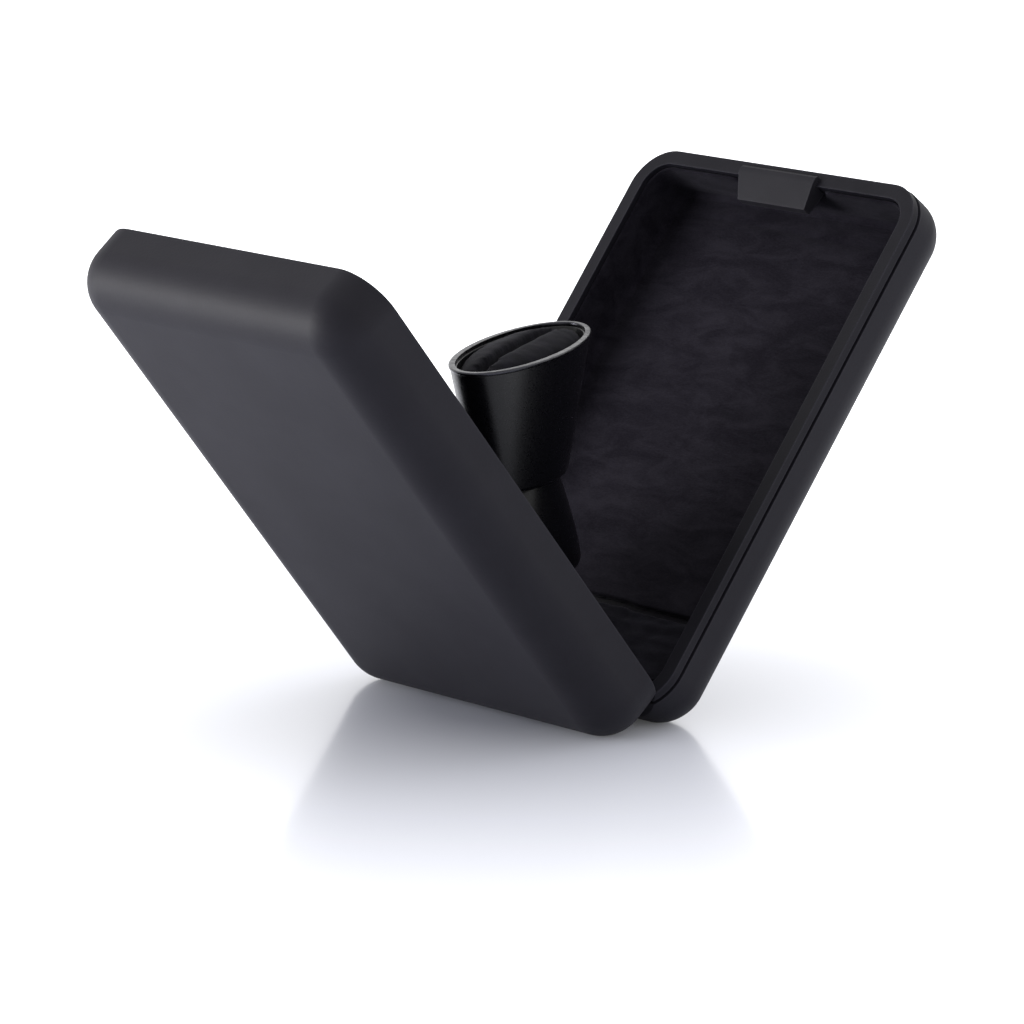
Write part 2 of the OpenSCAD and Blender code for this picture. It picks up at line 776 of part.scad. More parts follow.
module spindle_bush() {
    color(bronze) at_hinge() difference() {
        union() {
            translate([0, 0, bush_z]) cylinder(h = turret_z - bush_z, r = bush_r);
            translate([0, 0, bush_z]) cylinder(h = bush_flange_t, r = bush_flange_r);
        }
        cylinder(h = turret_z + cut, r = spindle_r + run_clear);
    }
}

// Ring holder

module spindle() {
    color(steel) on_spindle() difference() {
        union() {
            translate([0, 0, pinion_clip_z - spindle_foot])
                cylinder(h = spindle_top_z - pinion_clip_z + spindle_foot, r = spindle_r);
            translate([0, 0, collar_z]) cylinder(h = collar_t, r = collar_r);
        }
        // groove for the clip under the pinion
        translate([0, 0, pinion_clip_z]) difference() {
            cylinder(h = pinion_clip_t, r = spindle_r + cut);
            cylinder(h = pinion_clip_t, r = spindle_r - clip_groove);
        }
        translate([0, 0, spindle_top_z - cup_screw_l])
            cylinder(h = cup_screw_l + cut, r = screw_r);
    }
}

// Pinion with a tooth towards +X in the closed box
module drive_pinion() {
    hub = pinion_pitch_r * (1 - gear_face / cone_length) - dedendum;
    color(nylon) on_spindle() difference() {
        union() {
            bevel_gear(pinion_teeth, sector_teeth, 0, pinion_teeth - 1, 0,
                pinion_foot_z, sector_pitch_r + 0.6);
            translate([0, 0, pinion_foot_z])
                cylinder(h = pinion_top_z - pinion_foot_z, r = hub);
        }
        translate([0, 0, -cut]) cylinder(h = pinion_top_z + 2 * cut, r = spindle_r);
    }
}

module pinion_clip() {
    color(steel) on_spindle() translate([0, 0, pinion_clip_z]) difference() {
        cylinder(h = pinion_clip_t, r = spindle_r + 0.5);
        cylinder(h = pinion_clip_t, r = spindle_r - clip_groove);
    }
}

module thrust_washer() {
    color(nylon) at_hinge() translate([0, 0, turret_z + end_clear]) difference() {
        cylinder(h = thrust_t, r = turret_r - 0.4);
        cylinder(h = thrust_t, r = spindle_r + run_clear);
    }
}

// Oval bell under the cup, widest over its rounded lower edge
module pedestal() {
    wide_z = bell_z + bell_round;
    ovals = concat(
        [for (turn = [0, 30, 60]) let (inset = bell_round * (1 - sin(turn)))
            [bell_a - inset, bell_b - inset, bell_z + bell_round * (1 - cos(turn))]],
        [for (k = [0:6]) let (t = k / 6, s = 1 - pow(t, 1.3))
            [neck_a + (bell_a - neck_a) * s, neck_b + (bell_b - neck_b) * s,
                wide_z + (cup_z - wide_z) * t]]);
    color(leather_dark) on_spindle() difference() {
        oval_loft(ovals);
        cylinder(h = bell_bore_z, r = bell_bore_r);
        cylinder(h = cup_z + cut, r = spindle_r);
    }
}

// Half length and half width of the cup's outside at a height over its foot
function cup_oval(h) = let (t = h / cup_h)
    [cup_foot_a + (cup_top_a - cup_foot_a) * t, cup_foot_b + (cup_top_b - cup_foot_b) * t];

module cup_shell() {
    top = cup_h - trim_h;
    color(leather_dark) on_spindle() translate([0, 0, cup_z]) difference() {
        oval_loft(concat(
            [for (turn = [0:30:90]) let (h = foot_round * (1 - cos(turn)),
                inset = foot_round * (1 - sin(turn)))
                [cup_oval(h)[0] - inset, cup_oval(h)[1] - inset, h]],
            [[cup_oval(top)[0], cup_oval(top)[1], top]]));
        oval_loft([
            [cup_oval(cup_floor_t)[0] - cup_t, cup_oval(cup_floor_t)[1] - cup_t, cup_floor_t],
            [cup_oval(cup_h)[0] - cup_t, cup_oval(cup_h)[1] - cup_t, cup_h]]);
        translate([0, 0, -cut]) cylinder(h = cup_floor_t + 2 * cut, r = spindle_r);
    }
}

// Turned edge that shows as a thin bright line round the rim
module cup_rim_trim() {
    low = cup_oval(cup_h - trim_h);
    high = cup_oval(cup_h);
    proud = 0.15;
    color("#6a6a70") on_spindle() translate([0, 0, cup_z + cup_h - trim_h]) difference() {
        oval_loft([
            [low[0] + proud, low[1] + proud, 0],
            [high[0] + proud, high[1] + proud, trim_h - 0.2],
            [high[0] - 0.1, high[1] - 0.1, trim_h]]);
        translate([0, 0, -cut]) oval_loft([
            [low[0] - cup_t + 0.2, low[1] - cup_t + 0.2, 0],
            [high[0] - cup_t + 0.2, high[1] - cup_t + 0.2, trim_h + 2 * cut]]);
    }
}

// Crowned cushion that fills the cup, cut along its length by the ring slot
module ring_cushion() {
    foot_z = cup_floor_t + cup_screw_h + air;
    side_gap = cup_t + 0.15;
    crown_h = 1.8 + pad_crown;              // height of the rounded top
    flat_top = 0.32;                        // share of the top that is flat
    side_z = cup_h + pad_crown - crown_h;
    foot = cup_oval(foot_z) - [side_gap, side_gap];
    side = cup_oval(side_z) - [side_gap, side_gap];
    ovals = concat(
        [[foot[0], foot[1], foot_z], [side[0], side[1], side_z]],
        [for (turn = [22.5:22.5:90]) let (s = flat_top + (1 - flat_top) * cos(turn))
            [side[0] * s, side[1] * s, side_z + crown_h * sin(turn)]]);
    translate([0, 0, cup_z]) oval_loft(ovals);
}

module ring_pad_front() {
    color(suede) on_spindle() intersection() {
        ring_cushion();
        translate([-cup_top_a, -cup_top_b - slot_w / 2, cup_z])
            cube([2 * cup_top_a, cup_top_b, cup_h + 2 * pad_crown]);
    }
}

module ring_pad_back() {
    color(suede) on_spindle() intersection() {
        ring_cushion();
        translate([-cup_top_a, slot_w / 2, cup_z])
            cube([2 * cup_top_a, cup_top_b, cup_h + 2 * pad_crown]);
    }
}

module cup_screw() {
    color(steel) on_spindle() {
        translate([0, 0, spindle_top_z]) cylinder(h = cup_screw_h, r = cup_screw_r);
        translate([0, 0, spindle_top_z - cup_screw_l]) cylinder(h = cup_screw_l, r = screw_r);
    }
}

front_shell();
front_rim_frame();
front_wall_lining();
front_floor_pad();
front_hinge_ramp();
front_hinge_plate();
front_plate_screws();
front_gear_sector();
front_keeper();
rear_shell();
rear_rim_frame();
rear_wall_lining();
rear_floor_pad();
rear_hinge_ramp();
rear_hinge_plate();
rear_plate_screws();
rear_gear_sector();
catch_tab();
catch_magnet();
hinge_rod();
rod_clips();
friction_washers();
gear_housing();
spindle_bush();
spindle();
drive_pinion();
pinion_clip();
thrust_washer();
pedestal();
cup_shell();
cup_rim_trim();
ring_pad_front();
ring_pad_back();
cup_screw();
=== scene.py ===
"""Dresses a slim ring display box that opens like a V.

The rigid solids come from the frame. This script gives each one its finish, replaces the
soft ones with shaped suede and velvet pieces, and sets up a plain white studio.
"""
import logging
import math
from dataclasses import dataclass
from enum import Enum

import bpy
import numpy as np
from mathutils import Matrix, Vector, noise


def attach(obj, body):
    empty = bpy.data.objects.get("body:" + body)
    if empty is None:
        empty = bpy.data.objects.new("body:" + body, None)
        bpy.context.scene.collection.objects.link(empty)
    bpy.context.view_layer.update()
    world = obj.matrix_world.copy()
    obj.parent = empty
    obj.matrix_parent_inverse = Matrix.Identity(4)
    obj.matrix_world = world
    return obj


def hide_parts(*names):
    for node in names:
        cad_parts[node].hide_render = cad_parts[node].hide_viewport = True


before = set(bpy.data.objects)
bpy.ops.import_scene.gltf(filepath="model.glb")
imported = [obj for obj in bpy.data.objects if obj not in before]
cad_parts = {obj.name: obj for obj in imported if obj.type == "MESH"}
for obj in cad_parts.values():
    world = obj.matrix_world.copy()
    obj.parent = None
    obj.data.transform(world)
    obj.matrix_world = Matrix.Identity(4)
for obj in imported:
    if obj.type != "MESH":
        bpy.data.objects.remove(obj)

LOG = logging.getLogger("ring_box")
MM = 0.001
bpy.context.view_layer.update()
HINGE = np.array([0.0, 0.0396798, 6.5150488])   # the hinge axis's middle, in mm
RISE = math.pi / 2 - math.radians(38.5)         # angle of each half's floor above the table
WELD_M = 1e-6                                   # points closer than this are one point, in metres


class Side(Enum):
    """Which half of the box a piece belongs to."""

    FRONT = "front"
    REAR = "rear"


class Body(Enum):
    """Moving bodies of the frame that new pieces ride on."""

    FRONT = "front_half"
    REAR = "rear_half"
    HOLDER = "ring_holder"


BODY_OF_SIDE = {Side.FRONT: Body.FRONT, Side.REAR: Body.REAR}


# Colours, nodes and meshes


def linear(hex_code: str) -> tuple[float, float, float, float]:
    """Turns an sRGB hex colour into a linear one.

    Args:
        hex_code: six hex digits with a leading hash.

    Returns:
        Linear red, green, blue and an alpha of 1.
    """
    parts = [int(hex_code[i:i + 2], 16) / 255 for i in (1, 3, 5)]
    rgb = [c / 12.92 if c <= 0.04045 else ((c + 0.055) / 1.055) ** 2.4 for c in parts]
    return (rgb[0], rgb[1], rgb[2], 1.0)


def add_node(material, kind: str, values: dict | None = None, links: dict | None = None, **settings):
    """Adds one shader node with its settings and links.

    Args:
        material: the material or world whose tree gets the node.
        kind: the node's type name, without the leading ShaderNode.
        values: input name or number to its default value.
        links: input name or number to the output socket that feeds it.
        **settings: attributes of the node, such as its operation.

    Returns:
        The new node.
    """
    tree = material.node_tree
    node = tree.nodes.new("ShaderNode" + kind)
    for name, value in settings.items():
        setattr(node, name, value)
    for key, value in (values or {}).items():
        node.inputs[key].default_value = value
    for key, socket in (links or {}).items():
        tree.links.new(socket, node.inputs[key])
    return node


def new_material(name: str):
    """Makes an empty node material with an output, and returns both."""
    material = bpy.data.materials.new(name)
    material.use_nodes = True
    material.node_tree.nodes.clear()
    return material, add_node(material, "OutputMaterial")


def mesh_piece(name: str, points: np.ndarray, faces: list, smooth: bool = True):
    """Makes a mesh object from points in millimetres of the row frame.

    Args:
        name: the object's name.
        points: array of shape (n, 3), in mm.
        faces: lists of point numbers.
        smooth: whether the faces are shaded smooth.

    Returns:
        The new object, linked to the scene.
    """
    mesh = bpy.data.meshes.new(name)
    mesh.from_pydata((points * MM).tolist(), [], faces)
    mesh.validate()
    mesh.update()
    if smooth:
        mesh.shade_smooth()
    piece = bpy.data.objects.new(name, mesh)
    bpy.context.scene.collection.objects.link(piece)
    return piece


def grid_faces(rows: int, cols: int) -> list:
    """Quads of a grid whose points run row by row."""
    return [[r * cols + c, r * cols + c + 1, (r + 1) * cols + c + 1, (r + 1) * cols + c]
            for r in range(rows - 1) for c in range(cols - 1)]


def underside(rows: int, cols: int) -> list:
    """One face over the outline of a grid, turned the other way, that closes it from below."""
    first, last = list(range(cols)), list(range((rows - 1) * cols, rows * cols))
    right = [r * cols + cols - 1 for r in range(1, rows - 1)]
    left = [r * cols for r in range(1, rows - 1)]
    return [(first + right + last[::-1] + left[::-1])[::-1]]


def tube_faces(rows: int, cols: int) -> list:
    """Quads of a grid whose last row joins the first, with a face over each end."""
    wrap = [[(rows - 1) * cols + c, (rows - 1) * cols + c + 1, c + 1, c] for c in range(cols - 1)]
    ends = [[r * cols for r in range(rows)], [r * cols + cols - 1 for r in reversed(range(rows))]]
    return grid_faces(rows, cols) + wrap + ends


def ripple(points: np.ndarray, size: float, seed: float) -> np.ndarray:
    """Smooth noise between about -1 and 1 at points given in mm.

    Args:
        points: array whose last axis holds the three coordinates.
        size: width of one bump, in mm.
        seed: shifts the pattern.

    Returns:
        One value for each point.
    """
    shift = Vector((seed, 0.37 * seed, -seed))
    values = [noise.noise(Vector(p) / size + shift) for p in points.reshape(-1, 3).tolist()]
    return np.array(values).reshape(points.shape[:-1])


def ripples(points: np.ndarray, seed: float, *waves: tuple[float, float, float]) -> np.ndarray:
    """Sum of several ripples.

    Args:
        points: array whose last axis holds the three coordinates, in mm.
        seed: shifts all the patterns.
        *waves: height and width in mm of each ripple, and how far it shifts the seed.

    Returns:
        One value for each point, in mm.
    """
    return sum(height * ripple(points, size, seed + shift) for height, size, shift in waves)


def ridge(distance: np.ndarray, width: float) -> np.ndarray:
    """Height of a smooth ridge: 1 on its line, and close to 0 at twice the width from it."""
    return np.exp(-(distance / width) ** 2)


def keep_result(piece) -> None:
    """Puts the evaluated mesh of an object in place of its mesh and modifiers."""
    evaluated = piece.evaluated_get(bpy.context.evaluated_depsgraph_get())
    mesh = bpy.data.meshes.new_from_object(evaluated)
    piece.modifiers.clear()
    piece.data = mesh
    mesh.shade_smooth()


def evaluated_copy(source, name: str, modifiers: list[tuple[str, dict]]):
    """Copies an object's mesh with modifiers applied.

    Args:
        source: the object that is copied, which stays as it is.
        name: the new object's name.
        modifiers: pairs of a modifier's type and its settings.

    Returns:
        The new object, with a plain mesh.
    """
    piece = bpy.data.objects.new(name, source.data.copy())
    bpy.context.scene.collection.objects.link(piece)
    for kind, settings in modifiers:
        modifier = piece.modifiers.new(kind.lower(), kind)
        for key, value in settings.items():
            setattr(modifier, key, value)
    bpy.context.view_layer.update()
    keep_result(piece)
    piece.data.name = name
    piece.data.materials.clear()
    return piece


def foam_form(node: str, name: str, voxel_mm: float, smoothings: int):
    """Copies a solid of the frame as an even, rounded mesh that can be shaped as foam under cloth.

    Args:
        node: the name of the solid.
        name: the new object's name.
        voxel_mm: size of the even mesh, in mm.
        smoothings: how often it is smoothed.

    Returns:
        The new object.
    """
    return evaluated_copy(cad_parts[node], name, [
        ("WELD", {"merge_threshold": WELD_M}),
        ("REMESH", {"mode": "VOXEL", "voxel_size": voxel_mm * MM}),
        ("SMOOTH", {"factor": 0.5, "iterations": smoothings}),
    ])


def coordinates(piece) -> np.ndarray:
    """Points of a mesh object, in mm of the row frame."""
    flat = np.empty(len(piece.data.vertices) * 3)
    piece.data.vertices.foreach_get("co", flat)
    return flat.reshape(-1, 3) / MM


def set_coordinates(piece, points: np.ndarray) -> None:
    """Moves the points of a mesh object to places given in mm."""
    piece.data.vertices.foreach_set("co", (points * MM).ravel())
    piece.data.update()


def normals(piece) -> np.ndarray:
    """Unit normals at the points of a mesh object."""
    flat = np.empty(len(piece.data.vertices) * 3)
    piece.data.vertex_normals.foreach_get("vector", flat)
    return flat.reshape(-1, 3)


# Finishes


def cloudy(material, place, size_mm: float, detail: float, **more: float):
    """Adds a noise texture.

    Args:
        material: the material that gets it.
        place: the socket with the coordinates.
        size_mm: width of one cloud, in mm.
        detail: how many finer layers it has.
        **more: further inputs by name, such as Roughness.

    Returns:
        The socket with the noise, from 0 to 1.
    """
    return add_node(material, "TexNoise", {"Scale": 1 / (size_mm * MM), "Detail": detail, **more},
                    {"Vector": place}).outputs[0]


def remapped(material, value, given: tuple[float, float], wanted: tuple[float, float]):
    """Adds a node that carries one range over to another.

    Args:
        material: the material that gets it.
        value: the socket with the value.
        given: ends of the range the value comes in.
        wanted: what those ends become.

    Returns:
        The socket with the new value, kept between the wanted ends.
    """
    limits = {"From Min": given[0], "From Max": given[1], "To Min": wanted[0], "To Max": wanted[1]}
    return add_node(material, "MapRange", limits, {"Value": value}).outputs[0]


def around(middle: float, gains: tuple[float, float]) -> tuple[float, float]:
    """Two values, each the middle one with a gain added."""
    return middle + gains[0], middle + gains[1]


def combined(material, first, second, operation: str, **settings):
    """Adds a node that works out one value from two sockets, and returns its socket."""
    return add_node(material, "Math", links={0: first, 1: second}, operation=operation,
                    **settings).outputs[0]


def tinted(material, first: str, second: str, factor):
    """Adds a node that goes from one hex colour to another, and returns its socket."""
    return add_node(material, "Mix", {"A": linear(first), "B": linear(second)}, {"Factor": factor},
                    data_type="RGBA").outputs["Result"]


def bumped(material, height, strength: float, relief_mm: float, **settings):
    """Adds a node that turns a height into a normal, and returns its socket."""
    return add_node(material, "Bump", {"Strength": strength, "Distance": relief_mm * MM},
                    {"Height": height}, **settings).outputs[0]


def surfaced(material, output, values: dict, links: dict):
    """Joins a principled shader to the output, and returns the material."""
    shader = add_node(material, "BsdfPrincipled", values, links)
    material.node_tree.links.new(shader.outputs[0], output.inputs["Surface"])
    return material


@dataclass(frozen=True)
class Leatherette:
    """Embossed polyurethane leatherette: matte, with a fine pebble and polished edges."""

    name: str
    colour: str
    worn: str
    grain_mm: float = 0.45          # width of one embossed pebble
    roughness: float = 0.52
    specular: float = 0.2
    relief_mm: float = 0.02         # height of the pebble
    edge_mm: float = 0.5            # reach of the polish round an edge
    edge_turn: tuple[float, float] = (0.99, 0.8)    # cosine of the turn where it starts and is full
    edge_worn: float = 0.7          # how far an edge goes to the worn colour
    dye_mm: float = 14.0            # width of a patch that took the dye unevenly
    dye_worn: float = 0.16          # how far such a patch goes to the worn colour
    rough_gain: tuple[float, float] = (0.05, -0.08)     # roughness of unworn and worn places

    def material(self):
        """Builds the material."""
        material, output = new_material(self.name)
        place = add_node(material, "TexCoord").outputs["Object"]
        pebble = add_node(material, "TexVoronoi",
                          {"Scale": 1 / (self.grain_mm * MM), "Randomness": 0.9},
                          {"Vector": place}, feature="SMOOTH_F1").outputs["Distance"]
        cloud = cloudy(material, place, self.dye_mm, 3.0, Roughness=0.6)
        # rounded normals differ from the flat ones only near an edge
        rounded = add_node(material, "Bevel", {"Radius": self.edge_mm * MM}, samples=4).outputs[0]
        shape = add_node(material, "NewGeometry").outputs["Normal"]
        facing = add_node(material, "VectorMath", links={0: rounded, 1: shape},
                          operation="DOT_PRODUCT").outputs["Value"]
        edge = remapped(material, facing, self.edge_turn, (0.0, self.edge_worn))
        patchy = remapped(material, cloud, (0.35, 0.7), (0.0, self.dye_worn))
        wear = combined(material, edge, patchy, "ADD", use_clamp=True)
        colour = tinted(material, self.colour, self.worn, wear)
        rough = remapped(material, wear, (0.0, 1.0), around(self.roughness, self.rough_gain))
        bump = bumped(material, pebble, 0.6, self.relief_mm, invert=True)
        return surfaced(material, output, {"Specular IOR Level": self.specular, "IOR": 1.5},
                        {"Base Color": colour, "Roughness": rough, "Normal": bump})


@dataclass(frozen=True)
class Suede:
    """Brushed microfibre suede: no gloss, a short nap that is lighter where it is brushed up."""

    name: str
    colour: str
    brushed: str
    nap_mm: float = 0.22            # width of a tuft of fibres
    patch_mm: float = 3.5           # width of a brushed patch
    relief_mm: float = 0.05         # height of the nap
    sheen: float = 0.08
    sheen_tint: str = "#b4b4be"
    patch_light: float = 0.8        # how far a patch goes to the brushed colour
    tuft_light: float = 0.5         # how far a tuft does
    drawn: tuple[float, float, float] = (0.4, 1.0, 1.0)    # the nap is brushed along the hinge

    def material(self):
        """Builds the material."""
        material, output = new_material(self.name)
        place = add_node(material, "TexCoord").outputs["Object"]
        along = add_node(material, "Mapping", {"Scale": self.drawn}, {"Vector": place}).outputs[0]
        nap = cloudy(material, along, self.nap_mm, 2.0, Roughness=0.7)
        patch = cloudy(material, along, self.patch_mm, 4.0, Roughness=0.62, Distortion=0.6)
        lie = remapped(material, patch, (0.38, 0.68), (0.0, self.patch_light))
        speckle = remapped(material, nap, (0.35, 0.75), (0.0, self.tuft_light))
        tone = combined(material, lie, speckle, "ADD", use_clamp=True)
        colour = tinted(material, self.colour, self.brushed, tone)
        bump = bumped(material, nap, 0.7, self.relief_mm)
        return surfaced(material, output,
                        {"Roughness": 0.95, "Specular IOR Level": 0.05, "Sheen Weight": self.sheen,
                         "Sheen Roughness": 0.45, "Sheen Tint": linear(self.sheen_tint)},
                        {"Base Color": colour, "Normal": bump})


@dataclass(frozen=True)
class SatinLacquer:
    """Sprayed polyurethane lacquer: near black, with a soft sheen and a slight orange peel."""

    name: str
    colour: str
    roughness: float = 0.3
    specular: float = 0.45
    peel_mm: float = 1.6            # width of one ripple of the orange peel
    relief_mm: float = 0.02         # height of the orange peel
    dust_mm: float = 0.3            # width of the fine, duller specks
    rough_gain: tuple[float, float] = (-0.04, 0.06)     # roughness of clear and dusty places

    def material(self):
        """Builds the material."""
        material, output = new_material(self.name)
        place = add_node(material, "TexCoord").outputs["Object"]
        peel = cloudy(material, place, self.peel_mm, 1.0)
        dust = cloudy(material, place, self.dust_mm, 2.0)
        rough = remapped(material, dust, (0.3, 0.7), around(self.roughness, self.rough_gain))
        bump = bumped(material, peel, 0.25, self.relief_mm)
        return surfaced(material, output,
                        {"Base Color": linear(self.colour), "Specular IOR Level": self.specular,
                         "IOR": 1.5}, {"Roughness": rough, "Normal": bump})


@dataclass(frozen=True)
class Metal:
    """Bare or plated metal, turned or stamped, with fine tool marks along one direction."""

    name: str
    colour: str
    dull: str
    roughness: float
    mark_mm: float = 0.12           # spacing of the tool marks
    along: tuple[float, float, float] = (1.0, 1.0, 12.0)
    relief_mm: float = 0.01         # depth of the marks
    stain_mm: float = 3.0           # width of a duller patch
    rough_gain: tuple[float, float] = (-0.07, 0.1)      # roughness of smooth and marked places

    def material(self):
        """Builds the material."""
        material, output = new_material(self.name)
        place = add_node(material, "TexCoord").outputs["Object"]
        stretch = add_node(material, "Mapping", {"Scale": self.along}, {"Vector": place}).outputs[0]
        marks = cloudy(material, stretch, self.mark_mm * self.along[2], 2.0)
        stain = cloudy(material, place, self.stain_mm, 3.0)
        colour = tinted(material, self.colour, self.dull, stain)
        rough = remapped(material, marks, (0.3, 0.7), around(self.roughness, self.rough_gain))
        bump = bumped(material, marks, 0.2, self.relief_mm)
        return surfaced(material, output, {"Metallic": 1.0},
                        {"Base Color": colour, "Roughness": rough, "Normal": bump})


@dataclass(frozen=True)
class MouldedNylon:
    """Natural nylon 6, injection moulded: milky, satin, with a faint spark texture."""

    name: str
    colour: str
    flow: str
    roughness: float = 0.42
    flow_mm: float = 4.0            # width of a flow mark
    spark_mm: float = 0.12          # width of a pit of the spark texture
    relief_mm: float = 0.01         # depth of the pits
    milk_mm: float = 0.6            # how far light goes into it

    def material(self):
        """Builds the material."""
        material, output = new_material(self.name)
        place = add_node(material, "TexCoord").outputs["Object"]
        flow = cloudy(material, place, self.flow_mm, 2.0)
        spark = cloudy(material, place, self.spark_mm, 1.0)
        colour = tinted(material, self.colour, self.flow, flow)
        bump = bumped(material, spark, 0.3, self.relief_mm)
        return surfaced(material, output,
                        {"Roughness": self.roughness, "IOR": 1.53, "Subsurface Weight": 0.15,
                         "Subsurface Scale": self.milk_mm * MM},
                        {"Base Color": colour, "Normal": bump})


SHELL_WRAP = Leatherette("shell_leatherette", "#1f1e24", "#2e2d34", specular=0.13)
RIM_WRAP = Leatherette("rim_leatherette", "#16151b", "#33323a", grain_mm=0.35, roughness=0.48,
                       specular=0.11)
TAB_WRAP = Leatherette("tab_leatherette", "#201f24", "#302f35", grain_mm=0.3, roughness=0.6,
                       specular=0.12)
LINING = Suede("lining_suede", "#131118", "#232128")
RAMP_LINING = Suede("ramp_suede", "#0f0e14", "#1e1d24", patch_mm=2.5)
CUSHION = Suede("cushion_velvet", "#08080b", "#141319", nap_mm=0.16, patch_mm=3.0, sheen=0.08)
CUP_LACQUER = SatinLacquer("cup_lacquer", "#050508", specular=0.28)
CUP_LINE = Metal("cup_gunmetal", "#424247", "#313136", 0.28)
ZINC_STEEL = Metal("zinc_steel", "#c3c5c9", "#9b9da2", 0.32)
BUSH_BRONZE = Metal("bush_bronze", "#b8864e", "#94683a", 0.36)
GEAR_NYLON = MouldedNylon("gear_nylon", "#d9d4c6", "#cbc5b4")


# The object's sub-assemblies


def dress(node: str, material) -> None:
    """Gives a solid of the frame its finish.

    Args:
        node: the name of the solid.
        material: the finish, which takes all its material slots.
    """
    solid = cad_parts[node]
    solid.data.materials.clear()
    solid.data.materials.append(material)
    LOG.info("%s dressed in %s", node, material.name)


def soften_edges(node: str, width_mm: float, angle: float = 35.0, segments: int = 3) -> None:
    """Rounds the sharp edges of a solid, as wrapped or tumbled ones are.

    Args:
        node: the name of the solid.
        width_mm: width of the rounding, in mm.
        angle: edges sharper than this, in degrees, are rounded.
        segments: steps of the rounding.
    """
    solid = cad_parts[node]
    weld = solid.modifiers.new("weld", "WELD")
    weld.merge_threshold = WELD_M
    bevel = solid.modifiers.new("soft_edges", "BEVEL")
    bevel.width = width_mm * MM
    bevel.segments = segments
    bevel.limit_method = "ANGLE"
    bevel.angle_limit = math.radians(angle)
    bevel.use_clamp_overlap = True
    bevel.miter_outer = "MITER_ARC"
    even = solid.modifiers.new("even_normals", "WEIGHTED_NORMAL")
    even.keep_sharp = True
    solid.data.shade_smooth()


